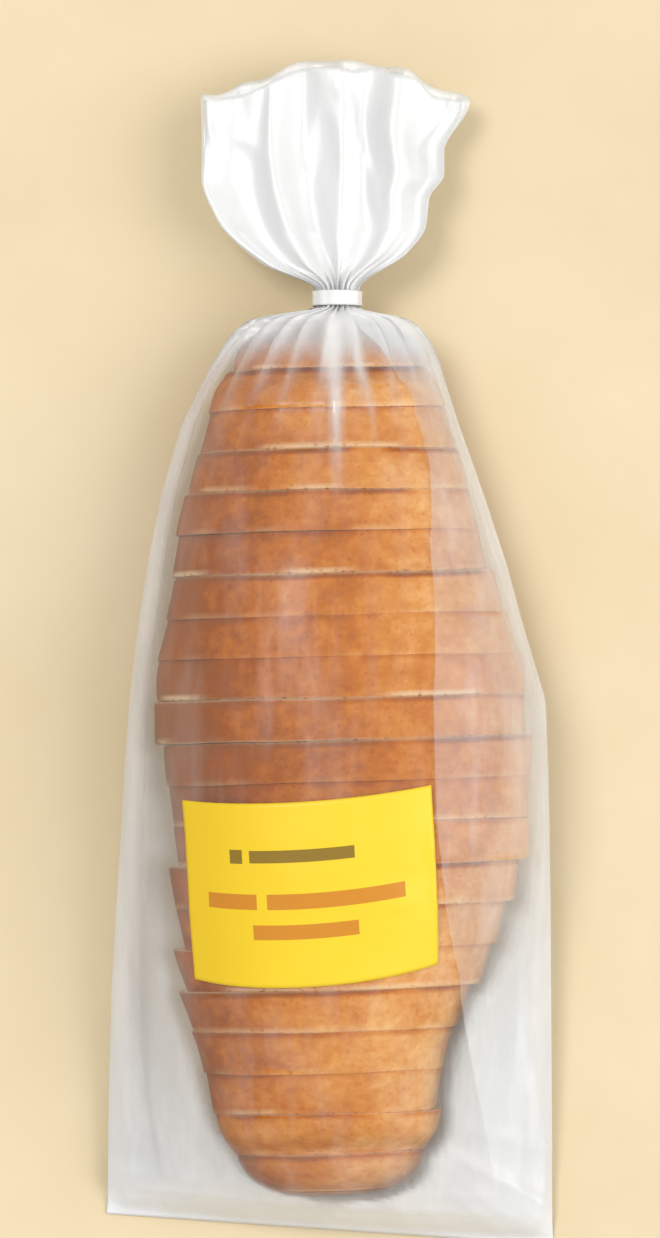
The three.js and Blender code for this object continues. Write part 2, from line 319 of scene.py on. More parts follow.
def breadMaterial():
    material, tree = newMaterial("baked_bread")
    place = addNode(tree, "ShaderNodeTexCoord").outputs["Object"]
    crumb = addNode(tree, "ShaderNodeAttribute", attribute_name="crumb").outputs["Fac"]
    tone = addNode(tree, "ShaderNodeAttribute", attribute_name="tone").outputs["Fac"]

    # crust colour: broad patches, painted light that darkens the left flank and pales the right, each slice
    # a shade of its own, and painted shade along the cut rims through the tone attribute
    patches = noiseNode(tree, place, 26.0, 4.0, 0.6)
    mottle = noiseNode(tree, stretched(tree, place, (80, 130, 80)), 1.0, 3.0, 0.6)
    spots = noiseNode(tree, place, 240.0, 4.0, 0.7)
    specks = addNode(tree, "ShaderNodeTexVoronoi", {"Vector": place, "Scale": 330.0}).outputs["Distance"]
    speckMask = maskRamp(tree, specks, 0.24, 0.1)
    across = addNode(tree, "ShaderNodeSeparateXYZ", {0: place})
    # painted light: paler towards the right, darker on the left
    level = mathNode(tree, "MULTIPLY_ADD", across.outputs[0], breadLook["paintedLightTowardsRight"], -0.02)
    level = mathNode(tree, "MULTIPLY_ADD", patches, 0.75, level)
    level = mathNode(tree, "ADD", level, tone)
    level = mathNode(tree, "MULTIPLY_ADD", mottle, 0.42, level)
    level = mathNode(tree, "MULTIPLY_ADD", spots, 0.5, level)
    level = mathNode(tree, "MULTIPLY_ADD", speckMask, -0.1, level)
    level = mathNode(tree, "SUBTRACT", level, 0.37)
    crustColour = rampNode(tree, level, [(share, srgb(code)) for share, code in breadLook["crustColours"]])
    footShade = mathNode(tree, "MULTIPLY", across.outputs[2], 60.0, clamp=True)
    crustColour = mixColour(tree, footShade, srgb(breadLook["footColour"]), crustColour)

    # crumb: cream, with painted shade in its pores
    pores = addNode(tree, "ShaderNodeTexVoronoi", {"Vector": place, "Scale": 420.0}).outputs["Distance"]
    poreMask = maskRamp(tree, pores, 0.12, 0.38)
    poreShade, between = [srgb(code) for code in breadLook["crumbColours"]]
    crumbColour = mixColour(tree, poreMask, poreShade, between)
    colour = mixColour(tree, maskRamp(tree, crumb, 0.0, 0.8), crustColour, crumbColour)

    # relief
    wrinkles = noiseNode(tree, place, 520.0, 4.0, 0.7)
    blisters = addNode(tree, "ShaderNodeTexVoronoi", {"Vector": place, "Scale": 190.0}, feature="SMOOTH_F1")
    relief = mathNode(tree, "MULTIPLY_ADD", blisters.outputs["Distance"], 0.5, wrinkles)
    relief = mathNode(tree, "MULTIPLY_ADD", poreMask, mathNode(tree, "MULTIPLY", crumb, 1.6), relief)
    relief = mathNode(tree, "MULTIPLY_ADD", mottle, 1.2, relief)
    normal = addNode(tree, "ShaderNodeBump", {"Height": relief, "Strength": 0.7, "Distance": 0.7 * mm})
    shader = addNode(tree, "ShaderNodeBsdfPrincipled", {
        "Base Color": colour,
        "Roughness": mathNode(tree, "MULTIPLY_ADD", spots, 0.3, 0.42),
        "Normal": normal.outputs[0],
        "Specular IOR Level": 0.2,
    })
    addNode(tree, "ShaderNodeOutputMaterial", {"Surface": shader.outputs[0]})
    return material


# how strongly each face shows, from the seam end to the neck:
# the outside of the first heel, the twenty cuts and the outside of the last heel
cutStrengths = (1.0, 0.5, 0.42, 0.15, 0.4, 0.7, 0.2, 0.5, 0.85, 0.5, 0.12,
                0.9, 1.0, 0.1, 0.15, 1.0, 0.2, 0.7, 0.85, 0.3, 0.8, 1.0)

# how much paler than the rest each slice is baked, from the seam end to the neck
bakeTones = (0.16, 0.22, 0.19, 0.11, 0.08, 0.05, 0.03, 0.02, -0.02, -0.1, -0.18,
             -0.11, -0.05, 0.11, 0.12, -0.03, -0.01, 0.12, 0.02, 0.03, 0.03)


def betweenCuts(name, cut):
    faint, strong = breadLook[name]
    return faint + (strong - faint) * cutStrengths[cut]


def cutWave(cut, x, z, isNear, closed):
    # how far a cut face stands off its plane: both sides of a cut wander alike, touch in places
    # and meet inside
    shared = breadLook["wander"] * noise.noise(Vector((x * 26, z * 26, cut * 4.3)))
    close = 0.5 + 0.9 * noise.noise(Vector((x * 34, z * 34, cut * 6.1 + 50)))
    touch = (betweenCuts("gap", cut) + 0.02 * mm) * max(closed, ease(0.35, 0.75, close))
    return shared + (-touch if isNear else touch)


def sliceSpan(k):
    # where a slice starts and ends along Y, with half a gap left at each cut
    low, high = sliceBoxes[k]
    start, end = low.y + breadLook["endGap"], high.y - breadLook["endGap"]
    if k > 0:
        start = (sliceBoxes[k - 1][1].y + low.y) / 2 + betweenCuts("gap", k)
    if k < lastSlice:
        end = (high.y + sliceBoxes[k + 1][0].y) / 2 - betweenCuts("gap", k + 1)
    return start, end


def cutFaces(bm):
    # only the two faces at a raw slice's ends have this many corners
    return [f for f in bm.faces if len(f.verts) > 8]


def rawSlice(k, depth):
    # a disc that stands on Z, with rounded edges and with rings round its crust and crumb
    bm = bmesh.new()
    around = breadLook["around"]
    bmesh.ops.create_cone(bm, cap_ends=True, segments=around, radius1=1, radius2=1, depth=depth)
    longEdges = [e for e in bm.edges if abs(e.verts[0].co.z - e.verts[1].co.z) > depth / 2]
    rings = breadLook["heelRings"] if k in (0, lastSlice) else breadLook["rings"]
    bmesh.ops.subdivide_edges(bm, edges=longEdges, cuts=rings)
    for face, cut in ((-1, k), (1, k + 1)):
        caps = [f for f in cutFaces(bm) if f.calc_center_median().z * face > 0]
        bmesh.ops.bevel(bm, geom=caps[0].edges[:], offset=betweenCuts("rim", cut) / breadLook["unit"],
                        offset_type="OFFSET", segments=3, profile=0.5, affect="EDGES", material=-1)
    crustShare = breadLook["crustDepth"] / breadLook["unit"]
    for width in (0.35 * crustShare, 0.65 * crustShare, 0.08, 0.2, 0.25):
        bmesh.ops.inset_region(bm, faces=cutFaces(bm), thickness=width, use_even_offset=True)
    bmesh.ops.poke(bm, faces=cutFaces(bm))
    return bm


def roundHeel(k, y, half, tall):
    # a heel gets narrower and lower towards its tip, and its foot curls up
    power = breadLook["seamPower"] if k == 0 else breadLook["neckPower"]
    sidePower = breadLook["sidePower"]
    half *= endRounding(y, power) / endRounding(facingY(k), power)
    tall *= endRounding(y, sidePower) / endRounding(facingY(k), sidePower)
    return half, tall, breadLook["heelLift"] * (1 - endRounding(y, sidePower))


def makeSlice(k, material):
    low, high = sliceBoxes[k]
    start, end = sliceSpan(k)
    isHeel = k in (0, lastSlice)
    middle = (start + end) / 2
    centreX = (low.x + high.x) / 2
    unit = breadLook["unit"]
    dice = random.Random(100 + k)
    bm = rawSlice(k, (end - start) / unit)
    crumb = bm.verts.layers.float.new("crumb")
    tone = bm.verts.layers.float.new("tone")
    shade = dice.uniform(-0.06, 0.06) + bakeTones[k]
    shade += breadLook["palerTowardsNeck"] * ease(50 * mm, 95 * mm, middle)
    slide = dice.uniform(-1, 1) * breadLook["slide"] * (0.2 if isHeel else 1)
    lean = breadLook["lean"] * (1 + noise.noise(Vector((k * 0.31, 4, 0))))
    turn = breadLook["turn"] + breadLook["turnSpread"] * noise.noise(Vector((k * 0.27, 9, 0)))
    swell = 1 + dice.uniform(-1, 1) * breadLook["sizeSpread"]
    for vert in bm.verts:
        angle = math.atan2(vert.co.y, vert.co.x)
        reach = math.hypot(vert.co.x, vert.co.y)
        y = middle + vert.co.z * unit
        isOuter = (k == 0 and y < middle) or (k == lastSlice and y > middle)
        half, tall, lift = loafHalfWidth(y) * swell, loafHeight(y) * swell, 0.0
        if isHeel:
            half, tall, lift = roundHeel(k, y, half, tall)
        x, z = sectionPoint(angle)
        axis = breadLook["axisShare"]
        x, z = x * half * reach, lift + tall * (axis + (z - axis) * reach)

        # uneven crust, pushed out less and less towards the middle of the cut face
        push = breadLook["lumps"] * lumpiness(x, y, z)
        push += breadLook["ownLumps"] * noise.noise(Vector((x * 40, k * 5.0, z * 40)))
        push *= reach ** 6
        outward = Vector((x, 0, z - tall * axis))
        if outward.length > 1e-6:
            outward.normalize()
        x += outward.x * push
        z += max(0.0, outward.z) * push

        # cut faces: neighbours meet inside the loaf and stand a little apart at the crust
        cut = k if y < middle else k + 1
        foot = 1 - betweenCuts("rim", cut) / unit
        opened = 0.12 * cutStrengths[cut] * ease(foot - 0.01, foot - 0.001, reach)
        stand = cutWave(cut, x, z, y < middle, (1 - ease(foot, 1, reach)) * (1 - opened))
        y += stand * ease(0, (end - start) / 2, abs(y - middle))
        if isOuter and reach < 0.97:
            y += math.copysign(breadLook["heelBulge"], y - middle) * (1 - reach ** 2)

        # cut edges: a pale torn rim of crumb on the near side, and painted shade on the far side where the
        # cut lies in shadow; both patchy
        inside = (1 - reach) * breadLook["usualRadius"] / breadLook["crustDepth"]
        vert[crumb] = 0.0 if isOuter else min(1.0, inside)
        vert[tone] = shade
        toEdge = ease(2.6 * mm, 0.7 * mm, (end - start) / 2 - abs(vert.co.z * unit))
        patch = 0.5 + 0.9 * noise.noise(Vector((math.cos(angle) * 2.3, math.sin(angle) * 2.3, k * 3.7)))
        mark = 0.15 + 1.05 * cutStrengths[cut]
        if not isOuter and y < middle:
            vert[crumb] = max(vert[crumb], 0.4 * mark * toEdge ** 2 * ease(0.3, 0.85, patch))
        elif not isOuter:
            vert[tone] = shade - breadLook["paintedCutShade"] * mark * toEdge * ease(0.0, 0.7, patch)
        away = y - middle
        vert.co = (
            centreX + slide + x - away * turn,
            y + x * turn + (z - breadLook["leanHeight"]) * lean,
            z + low.z + 0.05 * mm - away * lean,
        )
    bm.normal_update()  # the points have moved, and the next line starts from each face's present normal
    bmesh.ops.recalc_face_normals(bm, faces=bm.faces)
    piece = makeObject("bread_" + sliceNames[k], bm, [material])
    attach(piece, "root")
    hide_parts(sliceNames[k])
    return piece


crustAndCrumb = breadMaterial()
slices = [makeSlice(k, crustAndCrumb) for k in range(len(sliceNames))]
print("bread sliced:", len(slices))


filmLook = {
    "thickness": 0.1 * mm,
    "cling": 0.9 * mm,  # how far the film sinks from the frame's bag towards the bread
    "layerGap": 0.35 * mm,  # between the layers of the side fold
    "edgeGap": 0.15 * mm,
    "floorGap": 0.16 * mm,
    "wallInset": 1.3 * mm,  # how far the side walls stand inside the bag's edges
    "tuckInset": 4 * mm,  # and how far the fold's inner end does
    "underTie": 1.1 * mm,  # how far the gathered film lies inside the outside of the tie
    "wrinkles": (0.45 * mm, 1.5 * mm, 1.7 * mm),  # over the loaf, in the wings and near the seal
    "sealSlant": 0.07,
    "slantRun": 70 * mm,  # the slant fades out over this length
    "pleats": 23,  # round the neck
    "ruffSwings": 3.9,  # waves across each layer of the ruff
    "bodySteps": 132,
    "ruffSteps": 44,
    "flat": (0.44, 0.42),  # the tube cut open: twice its lay-flat width, and its length
    "tints": ("F3F5F6", "FFFFFF"),  # between the smears and in them
    "thickTint": "EFF0F0",
}

# the parts of one ring of film, in order round the bag: name, points, and the angles where they gather
filmRing = (
    ("floor", 36, 188, 335),
    ("rightWall", 7, 335, 342),
    ("innerFold", 22, 342, 349),
    ("outerFold", 22, 349, 356),
    ("crown", 84, 356, 534),
    ("leftWall", 10, 534, 548),
)

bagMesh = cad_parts["bag"].data
bagFaces = [tuple(p.vertices) for p in bagMesh.polygons]
bagTree = BVHTree.FromPolygons([v.co.copy() for v in bagMesh.vertices], bagFaces)
labelLow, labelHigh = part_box("label")
tieLow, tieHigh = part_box("neck_tie")
neck = (tieLow + tieHigh) / 2
neckHalf = (tieHigh - tieLow) / 2 - Vector((1, 0, 1)) * filmLook["underTie"]
sealY = -200 * mm
slantStart = -120 * mm
bodyEnd = neck.y - 3 * mm
ruffStart = neck.y + 3 * mm
ruffEnd = 198 * mm


def bagOutline():
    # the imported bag's edges seen from above, cut by cut: left X, its height, right X and its height
    rows = []
    steps = 72
    firstY = -185 * mm
    for step in range(steps + 1):
        y = firstY + (bodyEnd - firstY) * step / steps
        bm = bmesh.new()
        bm.from_mesh(bagMesh)
        cut = bmesh.ops.bisect_plane(bm, geom=bm.verts[:] + bm.edges[:] + bm.faces[:], plane_co=(0, y, 0),
                                     plane_no=(0, 1, 0))
        spots = [g.co.copy() for g in cut["geom_cut"] if isinstance(g, bmesh.types.BMVert)]
        bm.free()
        left = min(spots, key=lambda p: p.x)
        right = max(spots, key=lambda p: p.x)
        rows.append((y, left.x, left.z, right.x, right.z))
    # the seal, nearly flat and a little wider
    rows.insert(0, (sealY, rows[0][1] - 0.5 * mm, 0.8 * mm, rows[0][3] + 0.5 * mm, 0.8 * mm))
    return [smoothCurve([(r[0], r[k]) for r in rows]) for k in (1, 2, 3, 4)]


leftEdge, leftHeight, rightEdge, rightHeight = bagOutline()


def joinedTree(pieces):
    corners, faces = [], []
    for piece in pieces:
        first = len(corners)
        corners += [v.co.copy() for v in piece.data.vertices]
        faces += [[first + k for k in p.vertices] for p in piece.data.polygons]
    return BVHTree.FromPolygons(corners, faces)


breadTree = joinedTree(slices)

# where the right-hand side fold ends on top of the bread, and how far the left wall tucks in
foldReach = smoothCurve([
    (sealY, 58 * mm), (-120 * mm, 45 * mm), (-55 * mm, 36 * mm), (60 * mm, 33.5 * mm),
    (88 * mm, 27 * mm), (104 * mm, 20 * mm), (bodyEnd, 8 * mm),
])
leftTuck = smoothCurve([
    (sealY, 20 * mm), (-150 * mm, 12 * mm), (-60 * mm, 7 * mm), (80 * mm, 4 * mm), (bodyEnd, 0.6 * mm),
])

# how deep the gathers lie between their ridges
gatherDepth = smoothCurve([
    (48 * mm, 0), (75 * mm, 0.7 * mm), (92 * mm, 1.6 * mm), (104 * mm, 3.2 * mm), (112 * mm, 5.5 * mm),
    (bodyEnd, 4.2 * mm), (ruffStart, 4.2 * mm), (134 * mm, 1.2 * mm), (145 * mm, 0),
])

# the ruff: how far it reaches to each side, the cut of its edge from left to right, its height,
# its thickness and the height of its waves
ruffLeft = smoothCurve([
    (ruffStart, 8 * mm), (134 * mm, 26 * mm), (150 * mm, 42 * mm), (165 * mm, 47 * mm), (ruffEnd, 46 * mm),
])
ruffRight = smoothCurve([
    (ruffStart, 8 * mm), (138 * mm, 24.6 * mm), (147 * mm, 30.5 * mm), (157 * mm, 31.5 * mm),
    (167 * mm, 36.5 * mm), (177 * mm, 36.5 * mm), (ruffEnd, 46 * mm),
])
ruffCut = smoothCurve([
    (-1, -5.2 * mm), (-0.55, 0.3 * mm), (-0.15, 6.8 * mm), (0.55, 3.4 * mm), (0.7, -2.6 * mm), (1, -5 * mm),
])
ruffHeight = smoothCurve([(ruffStart, neck.z), (150 * mm, neck.z - 3 * mm), (ruffEnd, neck.z - 9 * mm)])
ruffThick = smoothCurve([
    (ruffStart, neckHalf.z), (134 * mm, 3.6 * mm), (150 * mm, 2.2 * mm), (ruffEnd, 2.6 * mm),
])
ruffWave = smoothCurve([(ruffStart, 0), (136 * mm, 2.6 * mm), (155 * mm, 4.2 * mm), (ruffEnd, 6 * mm)])

# two long ridges over the crown: X at the neck and at the far end, height, width, Y of the far end
crownRidges = (
    (neck.x - 1 * mm, 2.2 * mm, 2.2 * mm, 3.4 * mm, 60 * mm),
    (neck.x + 4 * mm, 15 * mm, 1.3 * mm, 2.2 * mm, 74 * mm),
)


def topOfBag(x, y):
    hit = bagTree.ray_cast(Vector((x, y, 200 * mm)), Vector((0, 0, -1)))[0]
    return hit.z if hit else None


def footOfBag(x, y):
    hit = bagTree.ray_cast(Vector((x, y, -50 * mm)), Vector((0, 0, 1)))[0]
    return hit.z if hit else None


def slantAt(v):
    return filmLook["sealSlant"] * min(1.0, max(0.0, (slantStart - v) / filmLook["slantRun"]))


def nearSpan(low, high, value):
    # 1 inside a span, falling to 0 a little way outside it
    return ease(low - 8 * mm, low + 2 * mm, value) * (1 - ease(high - 2 * mm, high + 8 * mm, value))


def nearLabel(x, y):
    return nearSpan(labelLow.x, labelHigh.x, x) * nearSpan(labelLow.y, labelHigh.y, y)


def crease(value):
    # turns smooth noise into a sharp-backed ridge
    return (1 - min(1.0, abs(value) * 3.2)) ** 2


def filmWrinkle(x, v, edgeShare):
    # small folds that run along the bag, with loose ones in its wings and short ones near the seal
    overLoaf, inWings, nearSeal = filmLook["wrinkles"]
    long = noise.noise(Vector((x * 75, v * 9, 1)))
    long += 0.7 * crease(noise.noise(Vector((x * 38 + v * 6, v * 7, 5)))) - 0.25
    wing = ease(0.72, 0.95, edgeShare)
    loose = noise.noise(Vector((x * 45, v * 24, 9)))
    loose += 0.8 * crease(noise.noise(Vector((x * 60, v * 16, 3))))
    sealPull = 1 - ease(-190 * mm, -150 * mm, v)
    fan = math.atan2(x - 2 * mm, -150 * mm - v)
    pulled = crease(noise.noise(Vector((fan * 4.5, 2, 7))))
    pulled += 0.6 * noise.noise(Vector((fan * 9, v * 20, 2)))
    height = overLoaf * long * (1 - wing) + inWings * loose * wing + nearSeal * pulled * sealPull
    return height * (1 - ease(bodyEnd - 20 * mm, bodyEnd, v))


def clearOfBread(part, x, y, z):
    # pushes a point of film out of the bread, with room for the fold layers under the top one
    if part == "floor" or y < loafStart or y > loafEnd:
        return x, z
    layers = {"crown": 3 if x > foldReach(y) - 3 * mm else 0, "outerFold": 2, "innerFold": 1}.get(part, 0)
    room = 0.3 * mm + layers * filmLook["layerGap"]
    axis = Vector((loafCentre(y), y, breadLook["axisShare"] * loafHeight(y)))
    outward = Vector((x, y, z)) - axis
    reach = outward.length
    outward.normalize()
    hit = breadTree.ray_cast(axis + outward * 150 * mm, -outward)[0]
    if hit and (hit - axis).length + room > reach:
        x, y, z = axis + outward * ((hit - axis).length + room)
    return x, max(z, filmLook["floorGap"])


def bodyCloud(x, v, away, edgeShare):
    # film on the bread is clear, and it clouds over where it leaves the bread, near the seal
    # and at the bag's edges
    seamRounding = endRounding(v, breadLook["seamPower"])
    past = max(abs(x - loafCentre(v)) - loafHalfWidth(v) * seamRounding, loafStart - v)
    beside = ease(0, 7 * mm, past)  # 0 over the loaf and 1 beside it
    near = 11 * mm - 4 * mm * (1 - ease(-130 * mm, -80 * mm, v)) * beside
    # more cloud on the right than on the left: painted light, the right side paler and the left darker as
    # light falls from the right
    cloud = (0.66 if x > 0 else 0.5) * ease(1.2 * mm, near, away) * (0.3 + 0.7 * beside)
    cloud += 0.7 * (1 - ease(sealY + 3 * mm, sealY + 18 * mm + 8 * mm * beside, v))
    cloud += 0.25 * (1 - ease(sealY + 20 * mm, sealY + 90 * mm, v)) * beside
    return cloud + 0.3 * ease(0.88, 1.0, edgeShare)


def bodyFilm(part, share, v):
    # one point of the bag's body, and how cloudy the film is there; l and r are the bag's two edges
    xl, xr = leftEdge(v), rightEdge(v)
    zl, zr = leftHeight(v), rightHeight(v)
    edgeGap, wallInset = filmLook["edgeGap"], filmLook["wallInset"]
    middleX, half = (xl + xr) / 2, (xr - xl) / 2 - edgeGap
    slant = slantAt(v)
    gap = filmLook["layerGap"]

    def yAt(x):
        return v - slant * x

    def bagSurface(side, x):
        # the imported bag's top or foot, or the height of its edge where it has neither
        z = side(x, min(max(yAt(x), sealY - slant * x + 0.2 * mm), bodyEnd))
        if z is None:
            z = zl if x < middleX else zr
        return z

    def calmTop(x):
        z = bagSurface(topOfBag, x)
        return z - filmLook["cling"] * ease(12 * mm, 40 * mm, z)

    def topAt(x):
        z = calmTop(x)
        wrinkle = filmWrinkle(x, v, abs(x - middleX) / half) * (1 - nearLabel(x, yAt(x)))
        return z + wrinkle * ease(0.3 * mm, 6 * mm, z)

    def footAt(x):
        return max(0.0, bagSurface(footOfBag, x)) + filmLook["floorGap"]

    # 0 where the bag's edge lies flat and 1 where the side wall stands high
    opened = ease(0, 20 * mm, zr)
    cloud = 0.0
    if part == "crown":
        x = middleX + half * math.cos(math.pi * share)
        z = topAt(x)
    elif part == "floor":
        inner = half - wallInset * (1 - ease(95 * mm, bodyEnd, v))
        x = middleX - inner * math.cos(math.pi * share)
        z = footAt(x)
    elif part == "leftWall":
        top = topAt(xl + edgeGap)
        low = min(gap, top / 4)
        fold = 1 - abs(2 * share - 1)
        x = xl + edgeGap + leftTuck(v) * fold + 1.2 * mm * share
        z = (top - low * 0.6) * (1 - share) + footAt(xl + 1.4 * mm) * share
    elif part == "rightWall":
        top = topAt(xr - edgeGap)
        low = min(gap, top / 4)
        x = xr - wallInset - (filmLook["tuckInset"] - wallInset) * share * opened
        z = footAt(xr - wallInset) * (1 - share) + (top - 2 * low) * share
    else:
        # the fold's two layers, back and forth between its inner end and the bag's edge
        reach = min(foldReach(v), xr - 3 * mm)
        if part == "outerFold":
            outerX = xr - 0.3 * mm
            x = outerX - (outerX - reach) * (1 - math.cos(math.pi * (1 - share))) / 2
            layers = 1
        else:
            outerX = xr - filmLook["tuckInset"] * opened - 0.6 * mm
            x = reach + (outerX - reach) * (1 + math.cos(math.pi * share)) / 2
            layers = 2
        z = topAt(x)
        z -= layers * min(gap, z / 4)
        cloud = 0.05
    x, z = clearOfBread(part, x, yAt(x), z)
    away = breadTree.find_nearest(Vector((x, yAt(x), z if part == "floor" else calmTop(x))))[3]
    return x, yAt(x), z, cloud + bodyCloud(x, v, away, abs(x - middleX) / half)


def ruffFilm(angle, v):
    # one point of the neck or of the ruff beyond it
    side, up = math.cos(angle), math.sin(angle)
    if v <= ruffStart:
        return neck.x + neckHalf.x * side, v, neck.z + neckHalf.z * up
    reach = ruffRight(v) if side > 0 else ruffLeft(v)
    far = ease(ruffStart, ruffEnd, v)
    layer = ease(-0.5, 0.5, up)  # 0 in the lower layer and 1 in the upper one

    # uneven zigzag waves that wander, and a few sharp creases
    swing = side * filmLook["ruffSwings"] * math.pi + 0.6 + 0.5 * layer * far
    swing += 2.6 * noise.noise(Vector((side * 1.9, v * 12, 3)))
    wave = 2 / math.pi * math.asin(0.92 * math.sin(swing))
    wave *= 0.62 + 0.7 * noise.noise(Vector((side * 2.3, v * 9, 21)))
    wave += 0.5 * noise.noise(Vector((side * 4.5, v * 18, 5 + layer * 0.7)))
    x = neck.x + reach * (side + 0.05 * far * noise.noise(Vector((side * 4, v * 12, 11 + layer))))
    z = ruffHeight(v) + ruffThick(v) * up + ruffWave(v) * wave
    crumple = crease(noise.noise(Vector((side * 3.1 + v * 14, v * 22, 31 + layer))))
    z += 1.5 * mm * far * (crumple - 0.3)

    edge = ruffCut(side) + 1.6 * mm * noise.noise(Vector((side * 5, 3, 3 * layer))) - 2.5 * mm * layer
    return x, v + ease(150 * mm, ruffEnd, v) * edge, z


def drawIn(part, angle, v, x, y, z):
    # gathers: sharp ridges with broad valleys between them, drawn in towards the neck
    jitter = 1.1 * noise.noise(Vector((math.cos(angle) * 1.7, math.sin(angle) * 1.7, v * 10)))
    valley = abs(math.cos(filmLook["pleats"] / 2 * angle + jitter)) ** 0.8
    centre = Vector((neck.x, y, neck.z if v > 104 * mm else 30 * mm))
    inward = centre - Vector((x, y, z))
    distance = inward.length
    if distance > 1e-6:
        inward.normalize()
        drawn = valley * min(gatherDepth(v), 0.75 * distance)
        x += inward.x * drawn
        if z > 3 * mm:
            z += inward.z * drawn
        if v < bodyEnd:
            x, z = clearOfBread(part, x, y, z)
    return x, z, 0.55 * ease(70 * mm, bodyEnd, v) * (1 - valley) ** 1.5


def filmPoint(part, share, angle, v):
    # one point of the whole sheet, and how cloudy the film is there
    if v < bodyEnd:
        x, y, z, cloud = bodyFilm(part, share, v)
    else:
        x, y, z = ruffFilm(angle, v)
        cloud = 0.0
    if gatherDepth(v) > 0:
        x, z, ridgeCloud = drawIn(part, angle, v, x, y, z)
        cloud += ridgeCloud
    if part == "crown" and v < bodyEnd + 2 * mm:
        for startX, endX, tall, wide, endV in crownRidges:
            path = endX + (startX - endX) * ease(endV, bodyEnd, v)
            strength = ease(endV - 12 * mm, endV + 34 * mm, v)
            strength *= 1 - 0.7 * ease(bodyEnd - 6 * mm, bodyEnd, v)
            ridge = bump(path, wide * (0.55 + 0.45 * ease(80 * mm, 108 * mm, v)), x) * strength
            z += tall * ridge
            cloud += 0.9 * ridge * tall / (2.2 * mm)
    cloud += ease(97 * mm, bodyEnd - 2 * mm, v) + 0.5 * ease(ruffStart, 140 * mm, v)
    # the ruff's cut edge and its sides are a single clear layer
    if v > ruffStart:
        cloud -= 0.7 * max(ease(ruffEnd - 2.5 * mm, ruffEnd, v), ease(0.93, 1.0, abs(math.cos(angle))))
    return Vector((x, y, z)), cloud


def makeFilm():
    ring = []
    for name, count, start, end in filmRing:
        for k in range(count):
            share = k / count
            ring.append((name, share, math.radians(start + (end - start) * share)))

    # rows from the seal to the mouth, closer together near the seal and near the neck
    steps = filmLook["bodySteps"]
    shares = [k / steps - 0.09 * math.sin(2 * math.pi * k / steps) for k in range(steps)]
    stations = [sealY + (bodyEnd - sealY) * share for share in shares]
    stations += [bodyEnd, neck.y, ruffStart]
    steps = filmLook["ruffSteps"]
    stations += [ruffStart + (ruffEnd - ruffStart) * (k / steps) ** 1.1 for k in range(1, steps + 1)]

    # a flat sheet, wrapped round the bread and welded along its length
    bm = bmesh.new()
    bmesh.ops.create_grid(bm, x_segments=len(ring), y_segments=len(stations) - 1, size=0.5)
    cloudLayer = bm.verts.layers.float.new("cloud")
    for vert in bm.verts:
        across = round((vert.co.x + 0.5) * len(ring)) % len(ring)
        row = round((vert.co.y + 0.5) * (len(stations) - 1))
        name, share, angle = ring[across]
        vert.co, vert[cloudLayer] = filmPoint(name, share, angle, stations[row])
    bmesh.ops.remove_doubles(bm, verts=bm.verts, dist=0.001 * mm)
    bmesh.ops.recalc_face_normals(bm, faces=bm.faces)
    return makeObject("film_bag", bm, [])


def filmMaterial():
    material, tree = newMaterial("soft_clear_film")
    place = addNode(tree, "ShaderNodeTexCoord").outputs["Object"]
    cloud = addNode(tree, "ShaderNodeAttribute", attribute_name="cloud").outputs["Fac"]
    facing = addNode(tree, "ShaderNodeLayerWeight", {"Blend": 0.35}).outputs["Facing"]
    streaks = noiseNode(tree, stretched(tree, place, (90, 16, 60)), 1.0, 3.0, 0.6)
    smears = maskRamp(tree, streaks, 0.45, 0.75)

    # how much milky film there is over the clear: more where it is cloudy, smeared or seen edge on
    haze = mathNode(tree, "MULTIPLY_ADD", cloud, 0.46, 0.015)
    haze = mathNode(tree, "MULTIPLY_ADD", smears, 0.045, haze)
    haze = mathNode(tree, "MULTIPLY_ADD", mathNode(tree, "POWER", facing, 2.0), 0.22, haze)
    haze = mathNode(tree, "MINIMUM", haze, 0.85)
    crinkle = noiseNode(tree, stretched(tree, place, (160, 90, 160)), 1.0, 4.0, 0.6)
    normal = addNode(tree, "ShaderNodeBump", {"Height": crinkle, "Strength": 0.35, "Distance": 0.5 * mm})
    clear = addNode(tree, "ShaderNodeBsdfTransparent", {"Color": (0.993, 0.995, 0.997, 1)})
    roughness = mathNode(tree, "MULTIPLY_ADD", streaks, 0.2, 0.18)
    roughness = mathNode(tree, "MULTIPLY_ADD", cloud, 0.12, roughness)
    between, smeared = [srgb(code) for code in filmLook["tints"]]
    tint = mixColour(tree, smears, between, smeared)
    thick = mathNode(tree, "MULTIPLY_ADD", cloud, 1.4, -1.1, clamp=True)
    tint = mixColour(tree, thick, tint, srgb(filmLook["thickTint"]))
    milky = addNode(tree, "ShaderNodeBsdfPrincipled", {
        "Base Color": tint,
        "Roughness": roughness,
        "IOR": 2.5,
        "Normal": normal.outputs[0],
    })
    shader = addNode(tree, "ShaderNodeMixShader", {0: haze, 1: clear.outputs[0], 2: milky.outputs[0]})
    addNode(tree, "ShaderNodeOutputMaterial", {"Surface": shader.outputs[0]})
    return material


film = makeFilm()
film.data.materials.append(filmMaterial())
wall = film.modifiers.new("wall", "SOLIDIFY")
wall.thickness = filmLook["thickness"]
wall.offset = -1
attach(film, "root")
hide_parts("bag")
print("film wrapped:", len(film.data.polygons), "faces")


labelLook = {
    "width": 91 * mm,
    "height": 63 * mm,
    "tilt": 0.06,
    "bow": (4.8 * mm, 3.0 * mm),  # how far its ends run up the tapering loaf, at its lower and upper edge
    "offset": (-2.5 * mm, -4.9 * mm),  # from the middle of its node's box to the sticker's own middle
    "columns": 72,
    "rows": 44,
    "step": 0.4 * mm,  # of the walk over the film
    "thickness": 0.12 * mm,
    "lift": 0.12 * mm,
    # the paper's colour at its left and at its right edge: the paler right is painted light
    "paper": ("E9C206", "EFD02C"),
    "inks": ("8A6D16", "CC8418"),
}

